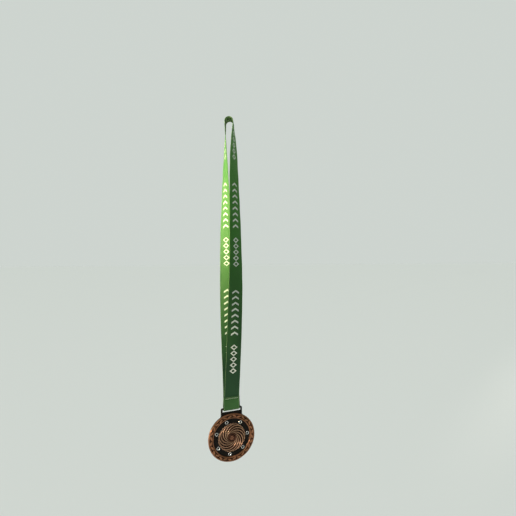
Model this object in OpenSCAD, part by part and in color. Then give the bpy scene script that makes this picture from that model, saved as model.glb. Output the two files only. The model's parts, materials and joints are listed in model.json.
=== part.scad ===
// Finisher medal on a printed neck ribbon, hanging over a peg.
// Millimetres. Origin on the axis of the peg the ribbon hangs over; Z up, the peg along Y,
// seen from -Y. The medal is turned to the viewer's right and hangs plumb from its bar.

/* [Ribbon] */
// ribbon width, along the peg at the top and along the hanger bar at the bottom
ribbon_w = 22.5; // [20:0.5:25]
// ribbon thickness
ribbon_t = 0.7; // [0.5:0.1:1]
// inside radius of the bend over the peg
peg_r = 5.5; // [4:0.5:8]
// height at which the upper lengths end and the lower lengths begin
split_z = -200; // [-240:10:-160]
// spacing of the sections along each strand
strand_step = 5; // [2:1:10]

/* [Sewn tab] */
// inside radius of the innermost fold under the hanger bar
fold_r = 1.6; // [1.5:0.05:2]
// length of the straight legs above the fold
leg_h = 4; // [2:0.5:6]
// height above the bar at which the four layers lie flat together
stack_h = 12; // [9:0.5:14]
// height of the cut ends of the folded-up tails above the bar
tail_h = 16; // [14:0.5:18]
// height above the bar at which the strands run into the tab
tab_top = 17; // [15:0.5:20]
// sideways place of the inner layer along the bar
inner_shift = 1.1; // [0:0.1:1.5]
// sideways place of the outer layer along the bar
outer_shift = -0.7; // [-1.5:0.1:0]
// height of the stitch line above the bar
stitch_h = 14.2; // [13:0.1:15]
// sewing thread thickness
thread_d = 0.4; // [0.3:0.05:0.5]
// distance between two needle holes
stitch_pitch = 2.75; // [2:0.25:3.5]

/* [Pose] */
// height of the hanger bar's centre
bar_z = -413; // [-430:1:-400]
// turn of the medal about the vertical
yaw = 22; // [0:1:45]
// lean of the medal that puts its centre of mass straight below the bar
lean = 0.99; // [0:0.01:3]

/* [Base plate] */
// radius of the plate
plate_r = 34.6; // [30:0.1:40]
// thickness of the plate and its hanger
plate_t = 2.2; // [2:0.1:3]
// height of the hanger bar's centre above the disc's centre
bar_h = 42.25; // [40:0.25:46]
// height of the bar itself
bar_s = 2.5; // [2:0.1:3]
// chamfer on the bar's long edges
bar_c = 0.5; // [0.3:0.05:0.7]
// how far the hanger's faces lie below the disc's faces
hanger_in = 0.15; // [0.05:0.05:0.3]
// width of the slot
slot_w = 27; // [25:0.5:30]
// lower edge of the slot above the disc's centre
slot_low = 37.5; // [37:0.25:38.5]
// outside width of the hanger
hanger_w = 32; // [30:0.5:36]
// corner radius of the hanger
hanger_cr = 2.4; // [1:0.1:3]
// depth of the sunk panel on the back
back_sink = 0.3; // [0.1:0.1:0.5]

/* [Rim ring] */
// outside radius of the rim ring
rim_ro = 35; // [33:0.1:40]
// inside radius of the rim ring
rim_ri = 27.5; // [26:0.1:29]
// height of the rim ring's flat crown above the plate
rim_h = 1.65; // [1:0.05:2]
// leaves in the wreath
leaves = 28; // [20:2:40]

/* [Rosette and boss] */
// radius to the scallops' centres
scallop_pos = 18.6; // [17:0.1:20]
// radius of one scallop
scallop_r = 2.05; // [1.8:0.05:2.2]
// lobes around the rosette
lobes = 30; // [24:2:36]
// thickness of the rosette disc
rosette_t = 1.1; // [0.8:0.1:1.4]
// radius of the centre boss
boss_r = 6.5; // [5:0.1:8]
// radius of the boss's shank
shank_r = 2; // [1.5:0.1:3]

/* [Ring studs] */
// studs in the black annulus
studs = 7; // [5:1:12]
// direction of the first stud from the disc's centre
stud_start = 263; // [250:1:290]
// radius of the circle of studs
stud_pos = 24; // [23:0.1:25]
// radius of a stud's head
stud_r = 2.5; // [2:0.1:2.8]
// height of a stud's head
stud_h = 0.9; // [0.6:0.1:1.2]
// radius of a stud's peg
stud_peg_r = 1; // [0.8:0.1:1.2]

/* [Hidden] */
$fn = 48;
half_t = plate_t / 2;
hanger_z = half_t - hanger_in;
peg_depth = 1.4;
green = [0.14, 0.36, 0.17];
black = [0.05, 0.05, 0.055];
copper = [0.5, 0.27, 0.17];
silver = [0.8, 0.8, 0.78];

// ---- strands: [z, angle of the width, x, y], by hand, top to bottom ----
front_run = [
  [0, 90, peg_r + ribbon_t / 2, 0], [-25, 75, 6.1, -0.3], [-50, 66, 6.3, -1], [-80, 60, 6.7, -1.8],
  [-120, 53, 7.4, -2.6], [-160, 47, 8, -3], [-200, 40, 8.2, -3], [-240, 31, 7.6, -2.6],
  [-280, 24.5, 6.2, -1.8], [-320, 22, 4.6, -0.9], [-355, 22, 2.9, -0.15], [-380, 22, 1.5, 0.45],
  [bar_z + tab_top, 22, 0.89, 0.73]];
back_run = [
  [0, 90, -peg_r - ribbon_t / 2, 0], [-25, 97, -6.1, 0.3], [-50, 107, -6.4, 1], [-80, 116, -6.6, 2],
  [-120, 128, -6.6, 3.2], [-160, 142, -6.3, 3.8], [-200, 155, -5.6, 3.8], [-240, 168, -4.9, 3.4],
  [-280, 180, -4, 2.7], [-320, 191, -2.8, 2.1], [-355, 199, -1.8, 1.5], [-380, 201.8, -1.2, 1],
  [bar_z + tab_top, 202, -1.04, 0.71]];

// smooth run through the stations: slopes from the neighbours, flat at both ends for the turn
function slope(s, i, c) =
  i == 0 || i == len(s) - 1 ? 0 : (s[i + 1][c] - s[i - 1][c]) / (s[i + 1][0] - s[i - 1][0]);
function seg(s, z, i = 0) = i >= len(s) - 2 || z >= s[i + 1][0] ? i : seg(s, z, i + 1);
function run(s, z, c) =
  let (i = seg(s, z), h = s[i + 1][0] - s[i][0], u = (z - s[i][0]) / h)
  (2 * pow(u, 3) - 3 * pow(u, 2) + 1) * s[i][c] + (pow(u, 3) - 2 * pow(u, 2) + u) * h * slope(s, i, c)
  + (-2 * pow(u, 3) + 3 * pow(u, 2)) * s[i + 1][c] + (pow(u, 3) - pow(u, 2)) * h * slope(s, i + 1, c);

module strand(s, z0, z1) {
  n = ceil((z0 - z1) / strand_step);
  zs = [for (k = [0:n]) z0 + (z1 - z0) * k / n];
  pts = [for (z = zs) for (q = [[-1, -1], [1, -1], [1, 1], [-1, 1]])
    let (a = run(s, z, 1), u = q[0] * ribbon_w / 2, v = q[1] * ribbon_t / 2)
    [run(s, z, 2) + u * cos(a) - v * sin(a), run(s, z, 3) + u * sin(a) + v * cos(a), z]];
  // the two broad faces are split along the same diagonal, so the strand keeps its thickness
  sides = [for (k = [0:n - 1]) for (i = [0:3]) let (j = (i + 1) % 4, a = 4 * k + i, b = 4 * k + j)
    each i < 2 ? [[a, b, b + 4], [a, b + 4, a + 4]] : [[a, b, a + 4], [b, b + 4, a + 4]]];
  caps = [[3, 2, 1], [3, 1, 0], [4 * n, 4 * n + 1, 4 * n + 2], [4 * n, 4 * n + 2, 4 * n + 3]];
  polyhedron(pts, concat(sides, caps));
}

// ---- sewn tab: profiles in the plane across the bar (x forward, y up), run along the bar ----
module at_bar() { translate([0, 0, bar_z]) rotate([0, 0, yaw]) children(); }
module along_bar(w, shift) {
  translate([shift, 0, 0]) rotate([90, 0, -90]) linear_extrude(w, center = true) children();
}
// one layer: a ribbon folded round the inside radius r, its legs 2 s apart where they lie flat
module fold_layer(r, s) {
  outside = r + ribbon_t;
  difference() {
    union() {
      circle(outside);
      polygon([[-outside, 0], [outside, 0], [outside, leg_h], [s + ribbon_t, stack_h],
        [s + ribbon_t, tail_h], [s, tail_h], [-s, tail_h], [-s, tab_top],
        [-s - ribbon_t, tab_top], [-s - ribbon_t, stack_h], [-outside, leg_h]]);
    }
    circle(r);
    polygon([[-r, 0], [r, 0], [r, leg_h], [s, stack_h], [s, tail_h + 5], [-s, tail_h + 5],
      [-s, stack_h], [-r, leg_h]]);
  }
}

module peg_loop() {
  color(green) difference() {
    rotate([90, 0, 0]) cylinder(h = ribbon_w, r = peg_r + ribbon_t, center = true);
    rotate([90, 0, 0]) cylinder(h = ribbon_w + 2, r = peg_r, center = true);
    translate([-20, -20, -40]) cube([40, 40, 40]);
  }
}
module strand_front_upper() { color(green) strand(front_run, 0, split_z); }
module strand_back_upper() { color(green) strand(back_run, 0, split_z); }
module strand_front_lower() { color(green) strand(front_run, split_z, bar_z + tab_top); }
module strand_back_lower() { color(green) strand(back_run, split_z, bar_z + tab_top); }
module tab_inner() { color(green) at_bar() along_bar(ribbon_w, inner_shift) fold_layer(fold_r, 0.02); }
module tab_outer() {
  color(green) at_bar() along_bar(ribbon_w, outer_shift) fold_layer(fold_r + ribbon_t, 0.02 + ribbon_t);
}

// lock stitch: dashes in front and behind, joined by the thread's legs through the four layers
module seam_thread() {
  n = 7;
  out = 2 * ribbon_t + 0.02;
  x0 = -n * stitch_pitch / 2;
  color([0.55, 0.68, 0.42]) at_bar() translate([0, 0, stitch_h]) linear_extrude(thread_d)
    union() {
      for (k = [0:n]) translate([x0 + k * stitch_pitch - thread_d / 2, -out - thread_d])
        square([thread_d, 2 * out + 2 * thread_d]);
      for (k = [0:2:n - 1]) translate([x0 + k * stitch_pitch, -out - thread_d])
        square([stitch_pitch, thread_d]);
      for (k = [1:2:n - 1]) translate([x0 + k * stitch_pitch, out])
        square([stitch_pitch, thread_d]);
    }
}

// ---- medal: built face up about the disc's centre, y towards the hanger, then hung on the bar ----
module hung() {
  at_bar() rotate([lean, 0, 0]) rotate([90, 0, 0]) translate([0, -bar_h, 0]) children();
}
module stud_spots() {
  for (k = [0:studs - 1]) rotate([0, 0, stud_start + 360 * k / studs]) translate([stud_pos, 0, 0]) children();
}
module hanger_outline() {
  side = hanger_w / 2 - hanger_cr;
  top = bar_h + bar_s / 2;
  difference() {
    union() {
      translate([-hanger_w / 2, 20]) square([hanger_w, top - hanger_cr - 20]);
      translate([-side, 20]) square([2 * side, top - 20]);
      translate([-side, top - hanger_cr]) circle(hanger_cr);
      translate([side, top - hanger_cr]) circle(hanger_cr);
    }
    translate([-slot_w / 2, slot_low]) square([slot_w, 20]);
  }
}
module base_plate() {
  color(black) hung() difference() {
    union() {
      rotate_extrude() polygon([[0, -half_t], [plate_r - 0.5, -half_t], [plate_r, -half_t + 0.5],
        [plate_r, half_t], [0, half_t]]);
      translate([0, 0, -hanger_z]) linear_extrude(2 * hanger_z) hanger_outline();
      translate([0, bar_h, 0]) rotate([90, 0, 90]) linear_extrude(slot_w + 0.2, center = true)
        polygon([[-bar_s / 2, -hanger_z + bar_c], [-bar_s / 2 + bar_c, -hanger_z], [bar_s / 2 - bar_c, -hanger_z],
          [bar_s / 2, -hanger_z + bar_c], [bar_s / 2, hanger_z - bar_c], [bar_s / 2 - bar_c, hanger_z],
          [-bar_s / 2 + bar_c, hanger_z], [-bar_s / 2, hanger_z - bar_c]]);
    }
    translate([0, 0, -half_t - 1]) cylinder(h = 1 + back_sink, r = plate_r - 3.4);
    translate([0, 0, half_t - peg_depth]) cylinder(h = 5, r = shank_r);
    stud_spots() translate([0, 0, half_t - peg_depth]) cylinder(h = 5, r = stud_peg_r);
  }
}
module leaf_shape() {
  intersection() {
    translate([0, 1.5]) circle(2.35);
    translate([0, -1.5]) circle(2.35);
  }
}
module rim_ring() {
  color(copper) hung() union() {
    rotate_extrude() polygon([[rim_ri, half_t], [rim_ro, half_t], [rim_ro, half_t + 0.8],
      [rim_ro - 0.8, half_t + 1.4], [rim_ro - 1.8, half_t + rim_h], [rim_ri + 1.8, half_t + rim_h],
      [rim_ri + 0.8, half_t + 1.4], [rim_ri, half_t + 0.8]]);
    for (k = [0:leaves - 1]) rotate([0, 0, 360 * (k + 0.5) / leaves]) translate([31.25, 0, half_t + rim_h - 0.1])
      rotate([0, 0, 90 + 24 * (k % 2 == 0 ? 1 : -1)]) linear_extrude(0.35) leaf_shape();
  }
}
module cell(r, turn, l, w) {
  rotate([0, 0, turn]) translate([r, 0, half_t + rosette_t - 0.1])
    linear_extrude(0.3) polygon([[-l, 0], [0, -w], [l, 0], [0, w]]);
}
module rosette_disc() {
  color(copper) hung() difference() {
    union() {
      translate([0, 0, half_t]) linear_extrude(rosette_t) union() {
        circle(scallop_pos + 0.5);
        for (k = [0:lobes - 1]) rotate(360 * k / lobes) translate([scallop_pos, 0]) circle(scallop_r);
      }
      // the cells left between the crossing engraved circles, three rows deep
      for (k = [0:lobes - 1]) {
        cell(16.9, 360 * k / lobes, 2, 1.25);
        cell(14.3, 360 * (k + 0.5) / lobes, 1.7, 1.05);
        cell(11.6, 360 * k / lobes, 1.5, 0.85);
      }
    }
    translate([0, 0, half_t - 1]) cylinder(h = 5, r = shank_r);
  }
}
module centre_boss() {
  top = half_t + rosette_t;
  color(copper) hung() union() {
    rotate_extrude() polygon([[0, half_t - peg_depth], [shank_r, half_t - peg_depth], [shank_r, top],
      [boss_r, top], [boss_r, top + 0.25], [boss_r - 0.5, top + 0.5], [boss_r - 1.1, top + 0.5],
      [boss_r - 1.3, top + 0.2], [boss_r - 1.9, top + 0.2], [boss_r - 2.2, top + 0.5],
      [boss_r - 3.2, top + 0.6], [0, top + 0.6]]);
    for (k = [0:5]) rotate([0, 0, 60 * k + 30]) translate([1.35, 0, top + 0.5])
      linear_extrude(0.35) polygon([[-1.2, 0], [0, -0.55], [1.2, 0], [0, 0.55]]);
  }
}
module ring_stud(k) {
  color(silver) hung() rotate([0, 0, stud_start + 360 * (k - 1) / studs]) translate([stud_pos, 0, 0])
    rotate_extrude() polygon([[0, half_t - peg_depth], [stud_peg_r, half_t - peg_depth],
      [stud_peg_r, half_t], [stud_r, half_t], [stud_r, half_t + stud_h - 0.3],
      [stud_r - 0.2, half_t + stud_h], [stud_r - 0.5, half_t + stud_h],
      [stud_r - 0.7, half_t + 0.25], [0, half_t + 0.25]]);
}
module ring_stud_1() { ring_stud(1); }
module ring_stud_2() { ring_stud(2); }
module ring_stud_3() { ring_stud(3); }
module ring_stud_4() { ring_stud(4); }
module ring_stud_5() { ring_stud(5); }
module ring_stud_6() { ring_stud(6); }
module ring_stud_7() { ring_stud(7); }

peg_loop();
strand_front_upper();
strand_back_upper();
strand_front_lower();
strand_back_lower();
tab_inner();
tab_outer();
seam_thread();
base_plate();
rim_ring();
rosette_disc();
centre_boss();
ring_stud_1();
ring_stud_2();
ring_stud_3();
ring_stud_4();
ring_stud_5();
ring_stud_6();
ring_stud_7();
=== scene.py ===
"""A finisher medal on its printed neck ribbon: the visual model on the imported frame."""
import json
import math

import bmesh
import bpy
import numpy as np
from mathutils import Euler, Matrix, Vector


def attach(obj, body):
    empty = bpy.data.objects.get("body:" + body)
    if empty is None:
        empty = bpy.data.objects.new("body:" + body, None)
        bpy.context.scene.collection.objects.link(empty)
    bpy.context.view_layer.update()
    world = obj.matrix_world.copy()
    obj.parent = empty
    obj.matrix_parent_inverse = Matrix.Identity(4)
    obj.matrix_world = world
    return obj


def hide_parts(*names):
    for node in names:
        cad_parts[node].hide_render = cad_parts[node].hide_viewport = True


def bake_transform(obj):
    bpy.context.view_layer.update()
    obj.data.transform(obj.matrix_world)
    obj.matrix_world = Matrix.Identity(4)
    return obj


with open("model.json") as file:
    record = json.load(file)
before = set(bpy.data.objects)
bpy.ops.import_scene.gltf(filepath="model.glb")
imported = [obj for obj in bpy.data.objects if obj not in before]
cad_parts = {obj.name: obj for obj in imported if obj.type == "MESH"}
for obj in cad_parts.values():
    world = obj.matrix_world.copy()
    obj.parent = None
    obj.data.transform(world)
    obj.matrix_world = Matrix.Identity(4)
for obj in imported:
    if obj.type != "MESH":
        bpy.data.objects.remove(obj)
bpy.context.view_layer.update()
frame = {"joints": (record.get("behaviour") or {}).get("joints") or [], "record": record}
RECORD = frame["record"]
MM = 0.001

# ---------------------------------------------------------------- the frame's facts
JOINTS = {j["name"]: j for j in frame["joints"]}
MOUNTS = {m["name"]: m for m in RECORD["mounts"]}
BAR = np.array(JOINTS["medal_swing"]["pos_m"], float)
ACROSS = np.array(JOINTS["medal_swing"]["axis"], float)
ACROSS /= np.linalg.norm(ACROSS)
FACE = -np.array(MOUNTS["back_face"]["axis"], float)
FACE /= np.linalg.norm(FACE)
UP = np.cross(FACE, ACROSS)
PLUMB_OUT = np.array([ACROSS[1], -ACROSS[0], 0.0])  # the tab's outward direction, level
PEG_R = MOUNTS["peg_rest"]["dims"]["r_mm"]
RIBBON_W = MOUNTS["peg_rest"]["dims"]["length_mm"]
RIBBON_T = 0.7
BEND_R = PEG_R + RIBBON_T / 2  # of the middle line over the peg
BAR_H, BAR_S, PLATE_R, HALF_T = 42.25, 2.5, 34.6, 1.1
HANGER_HALF_T = 0.95
RIM_IN, RIM_OUT = 27.5, 35.0
# how many studs, the first one's direction in degrees, the radius of the circle they stand on
STUDS, STUD_START, STUD_CIRCLE = 7, 263, 24
DISC = BAR - UP * BAR_H * MM


def hung(points):
    """Points in mm about the disc's centre (x along the bar, y to it, z out of the face) put in the frame."""
    p = np.asarray(points, float) * MM
    return DISC + p[:, :1] * ACROSS + p[:, 1:2] * UP + p[:, 2:3] * FACE


# ---------------------------------------------------------------- mesh helpers
def make(name, points, faces, mats, face_mats=None, smooth=True):
    """A mesh object in the scene, with a material number for each face where it has more than one."""
    mesh = bpy.data.meshes.new(name)
    mesh.from_pydata([tuple(p) for p in points], [], [tuple(int(i) for i in f) for f in faces])
    for m in mats:
        mesh.materials.append(m)
    if face_mats is not None:
        mesh.polygons.foreach_set("material_index", np.asarray(face_mats, np.int32))
    if smooth:
        mesh.polygons.foreach_set("use_smooth", np.ones(len(mesh.polygons), bool))
    mesh.update()
    mesh.validate()
    obj = bpy.data.objects.new(name, mesh)
    bpy.context.scene.collection.objects.link(obj)
    return obj


def grid_faces(rows, cols, wrap, start=0, flip=False):
    """Quads over a rows x cols grid of points, cols closed into a ring if wrap."""
    r, c = np.meshgrid(np.arange(rows - 1), np.arange(cols if wrap else cols - 1), indexing="ij")
    c2 = (c + 1) % cols
    q = np.stack([r * cols + c, r * cols + c2, (r + 1) * cols + c2, (r + 1) * cols + c], -1).reshape(-1, 4)
    return (q[:, ::-1] if flip else q) + start


def smoothstep(x, a, b):
    """0 up to a, 1 from b on, and an even rise between."""
    t = np.clip((x - a) / (b - a), 0, 1)
    return t * t * (3 - 2 * t)


def fan(ring, centre, flip=False):
    """Triangles from each side of a ring of points to one centre point."""
    n = len(ring)
    pairs = [(ring[k], ring[(k + 1) % n]) for k in range(n)]
    return [(b, a, centre) if flip else (a, b, centre) for a, b in pairs]


# ---------------------------------------------------------------- materials
class Nodes:
    """A short hand for building a material's node tree."""

    def __init__(self, name):
        self.mat = bpy.data.materials.new(name)
        self.mat.use_nodes = True
        self.tree = self.mat.node_tree
        self.bsdf = self.tree.nodes["Principled BSDF"]

    def add(self, kind, **props):
        n = self.tree.nodes.new(kind)
        for k, v in props.items():
            setattr(n, k, v)
        return n

    def put(self, socket, value):
        if isinstance(value, bpy.types.NodeSocket):
            self.tree.links.new(value, socket)
        else:
            socket.default_value = value

    def math(self, op, a, b=0.0, c=None, clamp=False):
        n = self.add("ShaderNodeMath", operation=op, use_clamp=clamp)
        self.put(n.inputs[0], a)
        self.put(n.inputs[1], b)
        if c is not None:
            self.put(n.inputs[2], c)
        return n.outputs[0]

    def mix(self, fac, a, b, blend="MIX"):
        n = self.add("ShaderNodeMix", data_type="RGBA", blend_type=blend)
        self.put(n.inputs["Factor"], fac)
        self.put(n.inputs["A"], a if isinstance(a, bpy.types.NodeSocket) else rgba(a))
        self.put(n.inputs["B"], b if isinstance(b, bpy.types.NodeSocket) else rgba(b))
        return n.outputs["Result"]

    def ramp(self, fac, stops, interpolation="LINEAR"):
        n = self.add("ShaderNodeValToRGB")
        cr = n.color_ramp
        cr.interpolation = interpolation
        while len(cr.elements) < len(stops):
            cr.elements.new(0.5)
        for e, (pos, col) in zip(cr.elements, stops):
            e.position, e.color = pos, rgba(col)
        self.put(n.inputs[0], fac)
        return n.outputs[0]

    def noise(self, scale, detail=3.0, rough=0.5, vector=None):
        n = self.add("ShaderNodeTexNoise")
        n.inputs["Scale"].default_value = scale
        n.inputs["Detail"].default_value = detail
        n.inputs["Roughness"].default_value = rough
        if vector is None:
            vector = self.add("ShaderNodeTexCoord").outputs["Object"]
        self.put(n.inputs["Vector"], vector)
        return n.outputs["Fac"]

    def bump(self, height, strength, distance, normal=None):
        n = self.add("ShaderNodeBump")
        n.inputs["Strength"].default_value = strength
        n.inputs["Distance"].default_value = distance
        self.put(n.inputs["Height"], height)
        if normal is not None:
            self.put(n.inputs["Normal"], normal)
        return n.outputs[0]

    def set(self, **values):
        for k, v in values.items():
            self.put(self.bsdf.inputs[k.replace("_", " ")], v)
        return self.mat


def rgba(c):
    return (*c, 1.0) if len(c) == 3 else tuple(c)


# ---------------------------------------------------------------- camera and light
def camera():
    """The photograph's view: level, a little to the right of the ribbon and near the middle of its height."""
    focal_px, roll = 387.6, math.radians(-0.425)
    cam = bpy.data.cameras.new("camera")
    cam.sensor_width, cam.sensor_fit = 36.0, "HORIZONTAL"
    cam.lens = focal_px / 516 * 36.0
    cam.clip_start, cam.clip_end = 0.01, 50
    obj = bpy.data.objects.new("camera", cam)
    obj.location = (0.04014, -0.562, -0.19594)
    level, rolled = Euler((math.radians(90), 0, 0)), Euler((0, 0, roll))
    obj.rotation_euler = (level.to_matrix() @ rolled.to_matrix()).to_euler()
    bpy.context.scene.collection.objects.link(obj)
    bpy.context.scene.camera = obj


def area_light(name, place, target, size, power, colour, spread):
    light = bpy.data.lights.new(name, "AREA")
    light.shape, light.size, light.size_y = "RECTANGLE", size[0], size[1]
    light.energy, light.color, light.spread = power, colour, math.radians(spread)
    obj = bpy.data.objects.new(name, light)
    obj.location = place
    obj.rotation_euler = (Vector(target) - Vector(place)).to_track_quat("-Z", "Y").to_euler()
    bpy.context.scene.collection.objects.link(obj)


def studio():
    """Three narrow beams from the left (in front, behind, and a weak one on the medal), soft light from
    above, and surroundings that are dark below, brighter above and pale behind the object."""
    bpy.context.scene.view_settings.view_transform = "Standard"
    area_light("key", (-1.75, -0.70, -0.18), (0, 0, -0.205), (0.5, 0.46), 1.85, (1.0, 0.94, 0.50), 17)
    area_light("key_rear", (-1.72, 0.62, -0.06), (0, 0, -0.08), (0.5, 0.36), 0.75, (1.0, 0.94, 0.55), 16)
    area_light("front", (-1.27, -1.29, -0.22), (0, -0.02, -0.475), (0.16, 0.26), 0.27, (1.0, 0.90, 0.80), 9)
    sun = bpy.data.objects.new("sky", bpy.data.lights.new("sky", "SUN"))
    sun.data.energy, sun.data.angle = 1.9, math.radians(30)
    bpy.context.scene.collection.objects.link(sun)
    world = bpy.data.worlds.new("studio")
    world.use_nodes = True
    tree = world.node_tree
    shed = tree.nodes["Background"]
    coord, split = tree.nodes.new("ShaderNodeTexCoord"), tree.nodes.new("ShaderNodeSeparateXYZ")
    tree.links.new(coord.outputs["Generated"], split.inputs[0])

    def gradient(axis, stops):
        """A ramp over the direction's height or depth, -1..1 taken to 0..1."""
        level = tree.nodes.new("ShaderNodeMath")
        level.operation = "MULTIPLY_ADD"
        tree.links.new(split.outputs[axis], level.inputs[0])
        level.inputs[1].default_value, level.inputs[2].default_value = 0.5, 0.5
        ramp = tree.nodes.new("ShaderNodeValToRGB")
        for e, (pos, col) in zip(ramp.color_ramp.elements, stops):
            e.position, e.color = pos, (*col, 1)
        tree.links.new(level.outputs[0], ramp.inputs[0])
        return ramp.outputs[0]

    room = gradient(2, [(0.35, (0.027, 0.033, 0.027)), (0.8, (0.26, 0.285, 0.264))])
    wall = gradient(1, [(0.54, (0, 0, 0)), (0.70, (0.23, 0.32, 0.23))])
    both = tree.nodes.new("ShaderNodeMix")
    both.data_type, both.blend_type = "RGBA", "LIGHTEN"
    both.inputs["Factor"].default_value = 1.0
    tree.links.new(room, both.inputs["A"])
    tree.links.new(wall, both.inputs["B"])
    tree.links.new(both.outputs["Result"], shed.inputs[0])
    seen = tree.nodes.new("ShaderNodeBackground")
    seen.inputs[0].default_value, seen.inputs[1].default_value = (0.615, 0.66, 0.625, 1), 1.0
    path, mixer = tree.nodes.new("ShaderNodeLightPath"), tree.nodes.new("ShaderNodeMixShader")
    tree.links.new(path.outputs["Is Camera Ray"], mixer.inputs[0])
    tree.links.new(shed.outputs[0], mixer.inputs[1])
    tree.links.new(seen.outputs[0], mixer.inputs[2])
    tree.links.new(mixer.outputs[0], tree.nodes["World Output"].inputs[0])
    bpy.context.scene.world = world
    corners = [(-40, -40, -0.9), (40, -40, -0.9), (40, 40, -0.9), (-40, 40, -0.9)]
    paint = Nodes("floor").set(Base_Color=(0.74, 0.76, 0.74, 1), Roughness=0.9)
    floor = make("floor", corners, [(0, 1, 2, 3)], [paint], smooth=False)


camera()
studio()

# ---------------------------------------------------------------- metal
def metal_black():
    """Black nickel over a casting, faintly mottled, and worn at the edges that the relief attribute marks."""
    n = Nodes("black_nickel")
    cloud = n.noise(160, 4, 0.6)
    fine = n.noise(1500, 2, 0.5)
    tint = n.ramp(cloud, [(0.3, (0.004, 0.0035, 0.003)), (0.7, (0.012, 0.009, 0.0065))])
    edge = n.add("ShaderNodeAttribute", attribute_name="relief").outputs["Fac"]
    patchy = n.math("MULTIPLY_ADD", cloud, 1.2, -0.2, clamp=True)
    worn = n.math("MULTIPLY", n.math("MULTIPLY", edge, edge), patchy)
    colour = n.mix(n.math("MULTIPLY", worn, 0.6), tint, (0.16, 0.12, 0.09))
    rough = n.math("MULTIPLY_ADD", cloud, 0.16, 0.13)
    return n.set(Base_Color=colour, Metallic=0.6, Roughness=rough, Normal=n.bump(fine, 0.12, 0.0001),
                 Specular_IOR_Level=0.12, Coat_Weight=0.03, Coat_Roughness=0.08)


def metal_blasted():
    """The sunk panel on the back: the same black, blasted, so that it is matt and a shade lighter."""
    n = Nodes("blasted_black")
    grain, cloud = n.noise(3200, 2, 0.6), n.noise(240, 3, 0.6)
    colour = n.ramp(cloud, [(0.3, (0.016, 0.014, 0.012)), (0.7, (0.034, 0.029, 0.024))])
    return n.set(Base_Color=colour, Metallic=0.4, Roughness=n.math("MULTIPLY_ADD", grain, 0.15, 0.42),
                 Normal=n.bump(grain, 0.35, 0.00008), Specular_IOR_Level=0.35)


def metal_copper(name, light, dark):
    """Antique copper: bright where it rubs, brown-black in the hollows, by the relief attribute."""
    n = Nodes(name)
    high = n.add("ShaderNodeAttribute", attribute_name="relief").outputs["Fac"]
    cloud = n.noise(220, 4, 0.6)
    spots = n.noise(900, 3, 0.6)
    wear = n.math("ADD", high, n.math("MULTIPLY_ADD", cloud, 0.5, -0.25))
    between = tuple(0.5 * (a + b) for a, b in zip(light, dark))
    colour = n.ramp(wear, [(0.08, dark), (0.42, between), (0.85, light)])
    colour = n.mix(n.math("MULTIPLY_ADD", spots, 0.5, -0.1, clamp=True), colour, (0.10, 0.045, 0.030))
    patina = n.ramp(n.noise(75, 3, 0.6), [(0.42, (0, 0, 0)), (0.66, (1, 1, 1))])
    aged = n.mix(1.0, colour, (0.42, 0.52, 0.48), "MULTIPLY")
    colour = n.mix(n.math("MULTIPLY", patina, 0.55), colour, aged)
    rough = n.math("MULTIPLY_ADD", wear, -0.25, 0.52, clamp=True)
    return n.set(Base_Color=colour, Metallic=1.0, Roughness=rough, Normal=n.bump(spots, 0.2, 0.00012))


def metal_silver():
    """Bright nickel, a little uneven in its polish."""
    n = Nodes("bright_nickel")
    cloud = n.noise(700, 3, 0.5)
    colour = n.ramp(cloud, [(0.35, (0.84, 0.83, 0.80)), (0.65, (0.96, 0.95, 0.92))])
    return n.set(Base_Color=colour, Metallic=1.0, Roughness=n.math("MULTIPLY_ADD", cloud, 0.15, 0.16))


BLACK = metal_black()
BLASTED = metal_blasted()
COPPER = metal_copper("antique_copper", (0.54, 0.235, 0.120), (0.026, 0.012, 0.007))
BROWN = metal_copper("antique_bronze", (0.74, 0.41, 0.25), (0.008, 0.005, 0.004))
BRONZE = metal_copper("dark_copper", (0.40, 0.175, 0.10), (0.010, 0.005, 0.004))
SILVER = metal_silver()


def polar(name, radii, outline, height, turns, mat, inner_wall=None, outer_wall=None, relief=None):
    """A relief over a ring or disc: radii 0..1 between its two outlines, height(x, y, r, t) in mm."""
    t = np.linspace(0, 2 * np.pi, turns, endpoint=False)
    r_in, r_out = outline(t)
    r = r_in[None] + (r_out - r_in)[None] * radii[:, None]
    x, y = r * np.cos(t), r * np.sin(t)
    z = height(x, y, r, np.broadcast_to(t, r.shape))
    shade = relief(x, y, r, np.broadcast_to(t, r.shape), z) if relief else np.ones_like(z)
    rows = [np.stack([x, y, z], -1)]
    shades = [shade]
    if inner_wall is not None:
        rows.insert(0, np.stack([x[0], y[0], np.full(turns, inner_wall)], -1)[None])
        shades.insert(0, shade[:1] * 0.4)
    if outer_wall is not None:
        rows.append(np.stack([x[-1], y[-1], np.full(turns, outer_wall)], -1)[None])
        shades.append(shade[-1:] * 0.6)
    pts = np.concatenate(rows)
    n_rows = pts.shape[0]
    faces = list(grid_faces(n_rows, turns, True, flip=True))
    points = pts.reshape(-1, 3)
    values = np.concatenate(shades).reshape(-1)
    if outer_wall is not None and inner_wall is not None:  # close the underside
        a = (n_rows - 1) * turns
        k = np.arange(turns)
        k2 = (k + 1) % turns
        faces += list(np.stack([k, k2, a + k2, a + k], -1))
    obj = make(name, hung(points), faces, [mat])
    add_relief(obj, values)
    return obj


def add_relief(obj, values):
    """Keeps how raised or worn each point is, 0 to 1, for the materials to read."""
    attr = obj.data.attributes.new("relief", "FLOAT", "POINT")
    attr.data.foreach_set("value", np.asarray(values, np.float32))


def lens(dx, dy, half_l, half_w):
    """1 inside a leaf of that half length and half width, falling to 0 at its edge."""
    u = np.abs(dx) / half_l
    w = half_w * np.clip(1 - u * u, 0, 1)
    return np.clip(1 - np.abs(dy) / np.maximum(w, 1e-6), 0, 1) * (u < 1)


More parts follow.
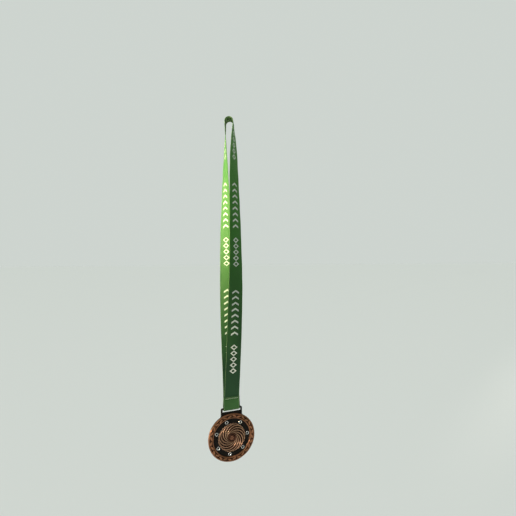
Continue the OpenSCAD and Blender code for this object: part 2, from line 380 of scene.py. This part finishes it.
def build_rim():
    """The copper ring: a convex crown with a laurel band between two rows of beads."""
    leaves, middle = 28, (RIM_IN + RIM_OUT) / 2
    leaf_turn, leaf_half_l, leaf_half_w = math.radians(24), 3.5, 1.45

    def crown(r):
        u = (r - RIM_IN) / (RIM_OUT - RIM_IN)
        return HALF_T + (0.75 + 0.92 * np.clip(1 - np.abs(2 * u - 1) ** 3.2, 0, 1) ** 0.5)

    def height(x, y, r, t):
        z = crown(r)
        band = smoothstep(r, 29.15, 29.45) * (1 - smoothstep(r, 33.05, 33.35))
        z -= 0.16 * band
        step = 2 * np.pi / leaves
        for side in (-1, 1):
            a = (t + step * 0.5 * side) % (2 * step) - step
            ax, ay = a * r, r - (middle + 0.35 * side)
            turn = leaf_turn * side
            dx = ax * math.cos(turn) + ay * math.sin(turn)
            dy = -ax * math.sin(turn) + ay * math.cos(turn)
            leaf = lens(dx, dy, leaf_half_l, leaf_half_w)
            z += np.where(leaf > 0, 0.36 * leaf ** 0.5, 0) - 0.14 * np.exp(-(dy / 0.16) ** 2) * (leaf > 0)
        stem = np.exp(-((r - middle) / 0.28) ** 2)
        z += 0.16 * stem * band
        for rb, count, amp, rad in ((28.65, 168, 0.16, 0.40), (33.85, 198, 0.16, 0.42)):
            pitch = 2 * np.pi / count
            a = ((t % pitch) - pitch / 2) * r
            d2 = (a ** 2 + (r - rb) ** 2) / rad ** 2
            z += amp * np.sqrt(np.clip(1 - d2, 0, 1))
        return z

    def relief(x, y, r, t, z):
        return np.clip(0.40 + (z - crown(r)) * 2.6, 0, 1)

    def outline(t):
        return np.full_like(t, RIM_IN), np.full_like(t, RIM_OUT)

    rim = polar("rim_ring_relief", np.linspace(0, 1, 76), outline, height, 1260, COPPER,
                inner_wall=HALF_T, outer_wall=HALF_T, relief=relief)
    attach(rim, "medal")
    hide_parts("rim_ring")


def scallop(t, lobes=30, pos=18.6, rad=2.05):
    """Radius of the lobed outline at angle t."""
    step = 2 * np.pi / lobes
    a = (t + step / 2) % step - step / 2
    return pos * np.cos(a) + np.sqrt(np.clip(rad ** 2 - (pos * np.sin(a)) ** 2, 0, None))


def build_rosette():
    """The patterned disc: crossing circles stand up as ridges from a flat ground inside a lobed lip."""
    circles, radius, offset, base = 36, 13.1, 6.9, HALF_T + 0.76

    def ridges(x, y):
        """Height 0..1 of the circles: one broad to two fine, each higher on the side that winds one way."""
        total = np.zeros_like(x)
        for k in range(circles):
            a = 2 * np.pi * k / circles
            cx, cy = offset * math.cos(a), offset * math.sin(a)
            d = np.abs(np.hypot(x - cx, y - cy) - radius)
            broad = k % 3 == 0
            winding = np.where(cx * y - cy * x > 0, 1.0 if broad else 0.24, 0.34 if broad else 0.16)
            total = np.maximum(total, winding * np.exp(-(d / (0.54 if broad else 0.18)) ** 4))
        return total

    def height(x, y, r, t):
        edge = scallop(t)
        lip = np.exp(-((edge - r) / 0.30) ** 2)
        inner = smoothstep(r, 6.4, 7.4)
        z = base + 0.50 * np.maximum(ridges(x, y) * inner, 0.9 * lip)
        return z - 0.35 * (1 - smoothstep(edge - r, 0.0, 0.14))

    def relief(x, y, r, t, z):
        lip = np.exp(-((scallop(t) - r) / 0.35) ** 2)
        return np.clip(-0.15 + np.maximum(ridges(x, y) * smoothstep(r, 6.0, 8.0), lip), 0, 1)

    def outline(t):
        return np.full_like(t, 2.05), scallop(t)

    plate = polar("rosette_relief", np.linspace(0, 1, 104), outline, height, 960, BROWN,
                  inner_wall=HALF_T, outer_wall=HALF_T, relief=relief)
    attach(plate, "medal")
    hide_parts("rosette_disc")


def build_boss():
    """The button at the centre: a ring, a groove and a domed cap with a six-petalled flower."""
    top, inner_r, outer_r = HALF_T + 1.1, 0.05, 6.5
    prof = np.array([
        (inner_r, .62), (1, .62), (2, .60), (3, .54), (3.7, .44), (4.15, .24), (4.4, .06), (4.9, .05),
        (5.1, .22), (5.35, .46), (5.8, .54), (6.15, .46), (6.4, .28), (outer_r, .1)])

    def petals(r, t):
        a = (t + np.pi / 6) % (np.pi / 3) - np.pi / 6
        return lens(r * np.cos(a) - 1.95, r * np.sin(a), 1.45, 0.62)

    def height(x, y, r, t):
        z = top + np.interp(r, prof[:, 0], prof[:, 1])
        petal = petals(r, t)
        z += 0.26 * petal ** 0.6 * (petal > 0)
        return z + 0.2 * np.sqrt(np.clip(1 - (r / 0.55) ** 2, 0, 1))

    def relief(x, y, r, t, z):
        ring = np.exp(-((r - 5.8) / 0.35) ** 2)
        return np.clip(0.25 * (r < 4.1) + 0.75 * (petals(r, t) > 0) + 0.6 * ring + 0.5 * (r < 0.55), 0, 1)

    def outline(t):
        return np.full_like(t, inner_r), np.full_like(t, outer_r)

    boss = polar("centre_boss_relief", np.linspace(0, 1, 64), outline, height, 240, BRONZE,
                 inner_wall=HALF_T + 0.9, outer_wall=HALF_T + 0.9, relief=relief)
    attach(boss, "medal")
    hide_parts("centre_boss")


def build_studs():
    """Seven ring studs, one piece each, in the black annulus: a narrow bright rim round a dark dish."""
    prof = np.array([
        (0.0, .16), (0.8, .17), (1.3, .20), (1.50, .26), (1.62, .40), (1.72, .66),
        (1.86, .85), (2.06, .92), (2.26, .86), (2.42, .66), (2.5, .34), (2.5, -.05)])
    turns, dish_rows = 56, 4
    t = np.linspace(0, 2 * np.pi, turns, endpoint=False)
    for k in range(STUDS):
        a = math.radians(STUD_START + 360 * k / STUDS)
        cx, cy = STUD_CIRCLE * math.cos(a), STUD_CIRCLE * math.sin(a)
        pts = [(cx, cy, HALF_T + prof[0, 1])]
        for r, z in prof[1:]:
            pts += [(cx + r * math.cos(b), cy + r * math.sin(b), HALF_T + z) for b in t]
        rows = len(prof) - 1
        pts.append((cx, cy, HALF_T + prof[-1, 1]))
        faces = fan(list(range(1, turns + 1)), 0)
        faces += list(grid_faces(rows, turns, True, start=1, flip=True))
        last = 1 + (rows - 1) * turns
        faces += fan(list(range(last, last + turns)), len(pts) - 1, flip=True)
        in_dish = (np.arange(len(faces)) < turns * dish_rows).astype(int)  # the dish's faces come first
        stud = make(f"ring_stud_head_{k + 1}", hung(pts), faces, [SILVER, BLACK], in_dish)
        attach(stud, "medal")
        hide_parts(f"ring_stud_{k + 1}")


def arc(cx, cy, r, a0, a1, n):
    """n + 1 points round a centre, from angle a0 to a1 in degrees."""
    angles = [math.radians(a0 + (a1 - a0) * k / n) for k in range(n + 1)]
    return [(cx + r * math.cos(a), cy + r * math.sin(a)) for a in angles]


def normals_of(loop):
    """Outward normals of a closed counter-clockwise loop (inward for a clockwise one)."""
    p = np.array(loop)
    d = np.roll(p, -1, 0) - np.roll(p, 1, 0)
    nrm = np.stack([d[:, 1], -d[:, 0]], -1)
    return nrm / np.linalg.norm(nrm, axis=1)[:, None]


def build_plate():
    """The black casting: disc and slotted hanger in one, with rounded edges and a sunk back."""
    # top of the hanger, half its width, its corner radius, and the rounding of every edge
    top, side, cr, soft = BAR_H + BAR_S / 2, 16.0, 2.4, 0.45
    sx, lo, hi, q = 13.5, 37.5, 41.0, 0.5  # the slot's half width, lower and upper edge, corner radius
    foot = math.degrees(math.asin(29.9 / PLATE_R))
    x_foot = PLATE_R * math.cos(math.radians(foot))
    fillet = [(side + 1.2, 30.3), (side + 0.5, 30.9), (side + 0.1, 31.8)]
    outer = arc(0, 0, PLATE_R, 180 - foot, 360 + foot, 150)
    outer += [p for p in fillet if p[0] < x_foot] + [(side, 34), (side, lo)]
    outer += arc(side - cr, top - cr, cr, 0, 90, 10) + [(0, top)] + arc(-side + cr, top - cr, cr, 90, 180, 10)
    outer += [(-side, lo), (-side, 34)] + [(-x, y) for x, y in reversed(fillet) if x < x_foot]
    slot = (arc(sx - q, hi - q, q, 90, 0, 4) + arc(sx - q, lo + q, q, 0, -90, 4)
            + arc(-sx + q, lo + q, q, -90, -180, 4) + arc(-sx + q, hi - q, q, 180, 90, 4))
    # from the flat face (inset past the rounding) round to the side, and the same below: inset, height, wear
    profile = [(1.0, HALF_T, 0.0)]
    for degrees in (0, 22.5, 45, 67.5, 90):
        a = math.radians(degrees)
        profile.append((soft - soft * math.sin(a), HALF_T - soft + soft * math.cos(a), math.sin(2 * a)))
    stations = profile + [(d, -z, worn) for d, z, worn in reversed(profile)]
    bm = bmesh.new()
    wear = bm.verts.layers.float.new("relief")
    caps = {0: [], len(stations) - 1: []}
    for loop in (outer, slot):
        nrm = normals_of(loop)
        rings = []
        for d, z, worn in stations:
            ring = [bm.verts.new((x - nx * d, y - ny * d, z)) for (x, y), (nx, ny) in zip(loop, nrm)]
            for v in ring:
                v[wear] = worn
            rings.append(ring)
        n = len(loop)
        for a in range(len(rings) - 1):
            for k in range(n):
                bm.faces.new((rings[a][k], rings[a + 1][k], rings[a + 1][(k + 1) % n], rings[a][(k + 1) % n]))
        caps[0].append(rings[0])
        caps[len(stations) - 1].append(rings[-1])
    # the back carries a sunk round panel with a fine raised line inside its wall
    turns = 120
    sunk = arc(0, 0, 1, 0, 360, turns)[:-1]
    panel = [(31.2, 0.0, 0.9), (30.95, 0.3, 0.0), (29.4, 0.3, 0.0), (29.2, 0.16, 1.0), (28.8, 0.16, 1.0),
             (28.6, 0.3, 0.0)]
    panel_rings = []
    for r, deep, worn in panel:
        ring = [bm.verts.new((x * r, y * r, -HALF_T + deep)) for x, y in sunk]
        for v in ring:
            v[wear] = worn
        panel_rings.append(ring)
    for near, far in zip(panel_rings, panel_rings[1:]):
        for k in range(turns):
            bm.faces.new((near[k], far[k], far[(k + 1) % turns], near[(k + 1) % turns])).material_index = 1
    caps[len(stations) - 1].append(panel_rings[0])

    def cap(rings, slot_index=0):
        edges = []
        for ring in rings:
            for k in range(len(ring)):
                v, w = ring[k], ring[(k + 1) % len(ring)]
                edges.append(bm.edges.get((v, w)) or bm.edges.new((v, w)))
        filled = bmesh.ops.triangle_fill(bm, use_beauty=True, use_dissolve=False, edges=edges)
        for f in filled["geom"]:
            if isinstance(f, bmesh.types.BMFace):
                f.material_index = slot_index

    cap(caps[0])
    cap(caps[len(stations) - 1])
    cap([panel_rings[-1]], 1)
    bmesh.ops.recalc_face_normals(bm, faces=bm.faces)
    for f in bm.faces:
        f.smooth = True
    mesh = bpy.data.meshes.new("base_plate_cast")
    bm.to_mesh(mesh)
    bm.free()
    co = np.array([v.co for v in mesh.vertices])
    out = smoothstep(np.hypot(co[:, 0], co[:, 1]), PLATE_R + 0.1, PLATE_R + 0.8)
    co[:, 2] *= 1 - out * (1 - HANGER_HALF_T / HALF_T)
    place = hung(co)
    mesh.vertices.foreach_set("co", place.reshape(-1).astype(np.float32))
    mesh.materials.append(BLACK)
    mesh.materials.append(BLASTED)
    mesh.set_sharp_from_angle(angle=math.radians(38))
    mesh.update()
    obj = bpy.data.objects.new("base_plate_cast", mesh)
    bpy.context.scene.collection.objects.link(obj)
    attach(obj, "medal")
    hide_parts("base_plate")


build_rim()
build_rosette()
build_boss()
build_studs()
build_plate()

# ---------------------------------------------------------------- ribbon
# stations down each strand: height, turn of the cloth in degrees, and its middle's x and y
FRONT_RUN = np.array([
    (0, 90, 5.85, 0), (-25, 75, 6.1, -0.3), (-50, 66, 6.3, -1), (-80, 60, 6.7, -1.8), (-120, 53, 7.4, -2.6),
    (-160, 47, 8, -3), (-200, 40, 8.2, -3), (-240, 31, 7.6, -2.6), (-280, 24.5, 6.2, -1.8),
    (-320, 22, 4.6, -0.9), (-355, 22, 2.9, -0.15), (-380, 22, 1.5, 0.45), (-396, 22, 0.89, 0.73)])
BACK_RUN = np.array([
    (0, 90, -5.85, 0), (-25, 97, -6.1, 0.3), (-50, 107, -6.4, 1), (-80, 116, -6.6, 2), (-120, 128, -6.6, 3.2),
    (-160, 142, -6.3, 3.8), (-200, 155, -5.6, 3.8), (-240, 168, -4.9, 3.4), (-280, 180, -4, 2.7),
    (-320, 191, -2.8, 2.1), (-355, 199, -1.8, 1.5), (-380, 201.8, -1.2, 1), (-396, 202, -1.04, 0.71)])
TAB_TOP, TAIL_TOP, STACK_H, LEG_H = 17.0, 16.0, 12.0, 4.0
# each folded layer in the tab: radius under the bar, distance from the tab's middle, shift along the bar
INNER_LAYER, OUTER_LAYER = (1.95, 0.37, 1.1), (2.65, 1.07, -0.7)
HALF_CLOTH = 0.29  # the cloth is thinner than the CAD's ribbon, which leaves room for its nap
GREEN_FADE = [(0.0, (0.041, 0.236, 0.019)), (0.35, (0.039, 0.204, 0.018)), (0.6, (0.032, 0.130, 0.021)),
              (0.85, (0.009, 0.052, 0.016)), (1.0, (0.009, 0.056, 0.018))]
BACK_FADE = [(0, (0.12, 0.26, 0.05)), (0.6, (0.08, 0.20, 0.05)), (1, (0.032, 0.105, 0.028))]


def run(s, z, col):
    """The same smooth run through the stations as the CAD's strands."""
    slope = np.zeros(len(s))
    slope[1:-1] = (s[2:, col] - s[:-2, col]) / (s[2:, 0] - s[:-2, 0])
    i = int(np.clip(np.searchsorted(-s[:, 0], -z, side="right") - 1, 0, len(s) - 2))
    h = s[i + 1, 0] - s[i, 0]
    u = (z - s[i, 0]) / h
    return ((2 * u ** 3 - 3 * u ** 2 + 1) * s[i, col] + (u ** 3 - 2 * u ** 2 + u) * h * slope[i]
            + (3 * u ** 2 - 2 * u ** 3) * s[i + 1, col] + (u ** 3 - u ** 2) * h * slope[i + 1])


def tab_path(r, s, shift):
    """Middle line of one folded layer, from its tail in front to the strand behind: points in mm."""
    knee, fold_top = (0.5 * (s + r), 0.5 * (STACK_H + LEG_H)), 1.5
    prof = [(s, TAIL_TOP - 0.01), (s, STACK_H + 0.6), knee, (r, LEG_H), (r, fold_top)]
    prof += [(r * math.cos(math.radians(a)), r * math.sin(math.radians(a))) for a in range(0, -181, -12)]
    prof += [(-r, fold_top), (-r, LEG_H), (-knee[0], knee[1]), (-s, STACK_H + 0.6), (-s, TAB_TOP)]
    p = np.array(prof)
    for _ in range(2):  # round the corners
        cut = np.stack([0.75 * p[:-1] + 0.25 * p[1:], 0.25 * p[:-1] + 0.75 * p[1:]], 1)
        p = np.concatenate([p[:1], cut.reshape(-1, 2), p[-1:]])
    n, z = p[:, :1], p[:, 1:]
    return BAR / MM + n * PLUMB_OUT + z * np.array([0, 0, 1.0]) + shift * ACROSS


def ribbon_path():
    """The whole ribbon's middle line and width direction, from the inner tail to the outer tail (mm)."""
    pts, wid = [], []
    inner = tab_path(*INNER_LAYER)
    pts += list(inner)
    wid += [ACROSS] * len(inner)
    for z in np.arange(-394.0, 0.5, 2.0):
        a = math.radians(run(FRONT_RUN, z, 1))
        pts.append((run(FRONT_RUN, z, 2), run(FRONT_RUN, z, 3), z))
        wid.append((math.cos(a), math.sin(a), 0))
    for a in range(9, 180, 9):
        pts.append((BEND_R * math.cos(math.radians(a)), 0, BEND_R * math.sin(math.radians(a))))
        wid.append((0, 1, 0))
    for z in np.arange(0.0, -394.5, -2.0):
        a = math.radians(run(BACK_RUN, z, 1))
        pts.append((run(BACK_RUN, z, 2), run(BACK_RUN, z, 3), z))
        wid.append((math.cos(a), math.sin(a), 0))
    outer = tab_path(*OUTER_LAYER)[::-1]
    pts += list(outer)
    wid += [-ACROSS] * len(outer)
    return np.array(pts, float), np.array(wid, float)


def resample(pts, wid, step):
    """The path at even steps: distance along it, points and width directions."""
    d = np.r_[0, np.cumsum(np.linalg.norm(np.diff(pts, axis=0), axis=1))]
    s = np.linspace(0, d[-1], int(d[-1] / step) + 1)
    p = np.stack([np.interp(s, d, pts[:, k]) for k in range(3)], -1)
    w = np.stack([np.interp(s, d, wid[:, k]) for k in range(3)], -1)
    return s, p, w / np.linalg.norm(w, axis=1)[:, None]


def ribbon_cloth(face):
    """Satin ribbon material: the face carries the pale marks, and the back is plain and rougher."""
    n = Nodes("ribbon_print" if face else "ribbon_reverse")
    uv = n.add("ShaderNodeUVMap", uv_map="cloth").outputs[0]
    sep = n.add("ShaderNodeSeparateXYZ")
    n.put(sep.inputs[0], uv)
    across = n.math("ABSOLUTE", sep.outputs[0])  # mm from the middle
    along = n.math("ABSOLUTE", sep.outputs[1])  # mm from the top of the bend

    def stretched(sx, sy):
        m = n.add("ShaderNodeMapping")
        n.put(m.inputs["Vector"], uv)
        m.inputs["Scale"].default_value = (sx, sy, 1)
        return m.outputs[0]

    streak = n.noise(1.0, 3, 0.6, stretched(3.2, 0.10))
    cloud = n.noise(1.0, 3, 0.55, stretched(0.10, 0.045))
    ribs = n.math("SINE", n.math("MULTIPLY", sep.outputs[1], 2 * math.pi / 0.62))
    warp = n.math("SINE", n.math("MULTIPLY", sep.outputs[0], 2 * math.pi / 0.5))
    weave = n.math("MULTIPLY", ribs, warp)
    fade = n.math("DIVIDE", along, 430)
    colour = n.ramp(fade, GREEN_FADE if face else BACK_FADE)
    colour = n.mix(n.math("MULTIPLY_ADD", cloud, 0.6, -0.15, clamp=True), colour,
                   n.mix(1.0, colour, (0.62, 0.66, 0.62), "MULTIPLY"))
    if face:
        marks = print_marks(n, across, along)
        ink = n.mix(n.math("MULTIPLY", streak, 0.3), (0.80, 0.83, 0.76), (0.52, 0.60, 0.47))
        colour = n.mix(marks, colour, ink)
    colour = n.mix(n.math("MULTIPLY_ADD", weave, 0.24, 0.24), colour,
                   n.mix(1.0, colour, (0.48, 0.52, 0.48), "MULTIPLY"))
    colour = n.mix(n.math("MULTIPLY_ADD", streak, 0.6, -0.2, clamp=True), colour,
                   n.mix(1.0, colour, (0.72, 0.75, 0.72), "MULTIPLY"))
    # the cloth is a shade lighter along both edges
    edge = n.math("GREATER_THAN", across, 10.45)
    colour = n.mix(n.math("MULTIPLY", edge, 0.12), colour, (0.34, 0.47, 0.24))
    raised = n.math("ADD", streak, n.math("MULTIPLY", edge, 0.6))
    height = n.math("ADD", n.math("MULTIPLY", weave, 0.5), raised)
    rough = n.math("MULTIPLY_ADD", streak, 0.16, 0.42 if face else 0.58)
    return n.set(Base_Color=colour, Roughness=rough, Specular_IOR_Level=0.22 if face else 0.15,
                 Sheen_Weight=0.20, Sheen_Roughness=0.45, Sheen_Tint=(1.0, 1.0, 0.75, 1),
                 Normal=n.bump(height, 0.6, 0.00014))


def print_marks(n, across, along):
    """Two runs of bold marks to each repeat, chevrons and then lozenges, with a blank between the repeats."""
    cell, half = 8.611, 5.3  # length of one mark's cell and half the width of a mark
    first, per = 97.0, 18.0  # where a repeat starts, and how many cells it has
    plain_top, plain_end = 19.0, 380.0  # no marks nearer to the bend or further down than this

    def count(shift):
        c = n.math("DIVIDE", n.math("ADD", along, shift), cell)
        c = n.math("ADD", c, per * 2)
        return n.math("FRACT", c), n.math("FLOORED_MODULO", n.math("FLOOR", c), per)

    inside = n.math("LESS_THAN", across, half)
    skew = n.math("MULTIPLY", across, -0.62)
    t, idx = count(n.math("ADD", skew, 1.5 - first))
    chevron = n.math("MULTIPLY", n.math("LESS_THAN", t, 0.30), inside)
    chevron = n.math("MULTIPLY", chevron, n.math("LESS_THAN", idx, 7.5))
    t, idx = count(-first)
    off_middle = n.math("ABSOLUTE", n.math("SUBTRACT", t, 0.5))
    lozenge = n.math("ADD", n.math("DIVIDE", across, half), n.math("DIVIDE", off_middle, 0.47))
    ring = n.math("MULTIPLY", n.math("LESS_THAN", lozenge, 1.0), n.math("GREATER_THAN", lozenge, 0.56))
    in_run = n.math("MULTIPLY", n.math("GREATER_THAN", idx, 8.5), n.math("LESS_THAN", idx, 13.5))
    ring = n.math("MULTIPLY", ring, in_run)
    marks = n.math("ADD", chevron, ring, clamp=True)
    marks = n.math("MULTIPLY", marks, n.math("GREATER_THAN", along, plain_top))
    return n.math("MULTIPLY", marks, n.math("LESS_THAN", along, plain_end))


def band_faces(rows, cols):
    """A closed band from two grids of points, the printed face and then the back, with its four edges."""
    off = rows * cols
    f_face = grid_faces(rows, cols, False)
    f_back = grid_faces(rows, cols, False, start=off, flip=True)
    r = np.arange(rows - 1) * cols
    left = np.stack([r, r + cols, r + cols + off, r + off], -1)
    rr = r + cols - 1
    right = np.stack([rr + cols, rr, rr + off, rr + cols + off], -1)
    c = np.arange(cols - 1)
    first = np.stack([c + 1, c, c + off, c + 1 + off], -1)
    cc = c + (rows - 1) * cols
    last = np.stack([cc, cc + 1, cc + 1 + off, cc + off], -1)
    faces = np.concatenate([f_face, f_back, left, right, first, last])
    mats = np.concatenate([np.zeros(len(f_face)), np.ones(len(faces) - len(f_face))]).astype(int)
    return faces, mats


def build_ribbon():
    """The whole ribbon as one band. Gives the piece and its flat length in mm."""
    pts, wid = ribbon_path()
    s, p, w = resample(pts, wid, 1.0)
    tan = np.gradient(p, axis=0)
    tan /= np.linalg.norm(tan, axis=1)[:, None]
    w -= tan * (w * tan).sum(1)[:, None]
    w /= np.linalg.norm(w, axis=1)[:, None]
    nrm = np.cross(w, tan)
    nrm /= np.linalg.norm(nrm, axis=1)[:, None]
    top = int(np.argmax(p[:, 2]))
    along = s - s[top]
    # the strands run free between the bend and the tab: there the cloth cups and wavers a little
    free = smoothstep(np.abs(along), 22, 90) * (1 - smoothstep(np.abs(along), 330, 392))
    loose = smoothstep(np.abs(along), 12, 40) * (1 - smoothstep(np.abs(along), 380, 402))
    inner = np.linspace(-0.955, 0.955, 17)
    u = np.r_[-1.0, -0.988, -0.97, inner, 0.97, 0.988, 1.0]
    half = np.r_[0.12, 0.30, 0.33, np.full(len(inner), HALF_CLOTH), 0.33, 0.30, 0.12]
    half[3], half[-4] = 0.27, 0.27
    x = u * RIBBON_W / 2
    wave = (0.16 * np.sin(along / 17.0 + 0.6) + 0.10 * np.sin(along / 7.3 + 2.1)) * loose
    cup = -0.55 * free
    edge_wave = 0.12 * np.sin(along / 5.1) * loose
    lift = (wave[:, None] * np.sin(1.6 * u + along[:, None] / 60) + cup[:, None] * (u[None] ** 2 - 0.33)
            + edge_wave[:, None] * np.sign(u)[None] * np.abs(u[None]) ** 6)
    centre = p[:, None] + w[:, None] * x[None, :, None] + nrm[:, None] * lift[..., None]
    face = centre + nrm[:, None] * half[None, :, None]
    back = centre - nrm[:, None] * half[None, :, None]
    rows, cols = face.shape[:2]
    points = np.concatenate([face.reshape(-1, 3), back.reshape(-1, 3)]) * MM
    faces, mats = band_faces(rows, cols)
    obj = make("neck_ribbon", points, faces, [ribbon_cloth(True), ribbon_cloth(False)], mats)
    uv = np.concatenate([np.stack(np.broadcast_arrays(x[None, :], along[:, None]), -1).reshape(-1, 2)] * 2)
    layer = obj.data.uv_layers.new(name="cloth")
    loops = np.empty(len(obj.data.loops), np.int32)
    obj.data.loops.foreach_get("vertex_index", loops)
    layer.data.foreach_set("uv", uv[loops].reshape(-1).astype(np.float32))
    obj.data.set_sharp_from_angle(angle=math.radians(50))
    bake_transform(obj)
    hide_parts("peg_loop", "strand_front_upper", "strand_back_upper", "strand_front_lower",
                "strand_back_lower", "tab_inner", "tab_outer")
    return obj, s[-1]


def thread_material():
    n = Nodes("sewing_thread")
    ply = n.noise(2600, 2, 0.5)
    colour = n.ramp(ply, [(0.3, (0.60, 0.68, 0.46)), (0.7, (0.84, 0.88, 0.70))])
    return n.set(Base_Color=colour, Roughness=0.6, Sheen_Weight=0.3, Normal=n.bump(ply, 0.4, 0.0001))


def build_seam():
    """A lock stitch through the four layers: plump stitches in front and behind, tapering to their holes."""
    z0, pitch, count, rad, side, steps = 14.2, 2.44, 8, 0.19, 8, 13
    stack = 2 * RIBBON_T + 0.02  # from the tab's middle to its outer face
    pts, faces = [], []
    for face in (1, -1):
        for k in range(count):
            mid = (k - (count - 1) / 2) * pitch + (0.2 if face == 1 else 0.2 - pitch / 2)
            length, base = pitch * 0.86, len(pts)
            for i in range(steps):
                q = i / (steps - 1)
                xx = mid + (q - 0.5) * length
                nn = face * (stack - 0.16 + 0.24 * math.sin(math.pi * q) ** 0.5)
                rr = rad * (0.55 + 0.45 * math.sin(math.pi * q) ** 0.6) * (1 + 0.06 * math.sin(q * 40))
                slant = 0.12 * (q - 0.5)
                for j in range(side):
                    b = 2 * math.pi * j / side
                    pts.append(BAR / MM + xx * ACROSS + (nn + rr * math.cos(b)) * PLUMB_OUT
                               + np.array([0, 0, z0 + slant + rr * math.sin(b)]))
            faces += [tuple(f) for f in grid_faces(steps, side, True, start=base)]
            faces.append(tuple(base + j for j in range(side)))
            faces.append(tuple(base + (steps - 1) * side + j for j in reversed(range(side))))
    obj = make("seam_stitches", np.array(pts) * MM, faces, [thread_material()])
    bm = bmesh.new()
    bm.from_mesh(obj.data)
    bmesh.ops.recalc_face_normals(bm, faces=bm.faces)
    bm.to_mesh(obj.data)
    bm.free()
    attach(obj, "ribbon_neck")
    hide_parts("seam_thread")
    return obj


ribbon, ribbon_length = build_ribbon()
stitches = build_seam()
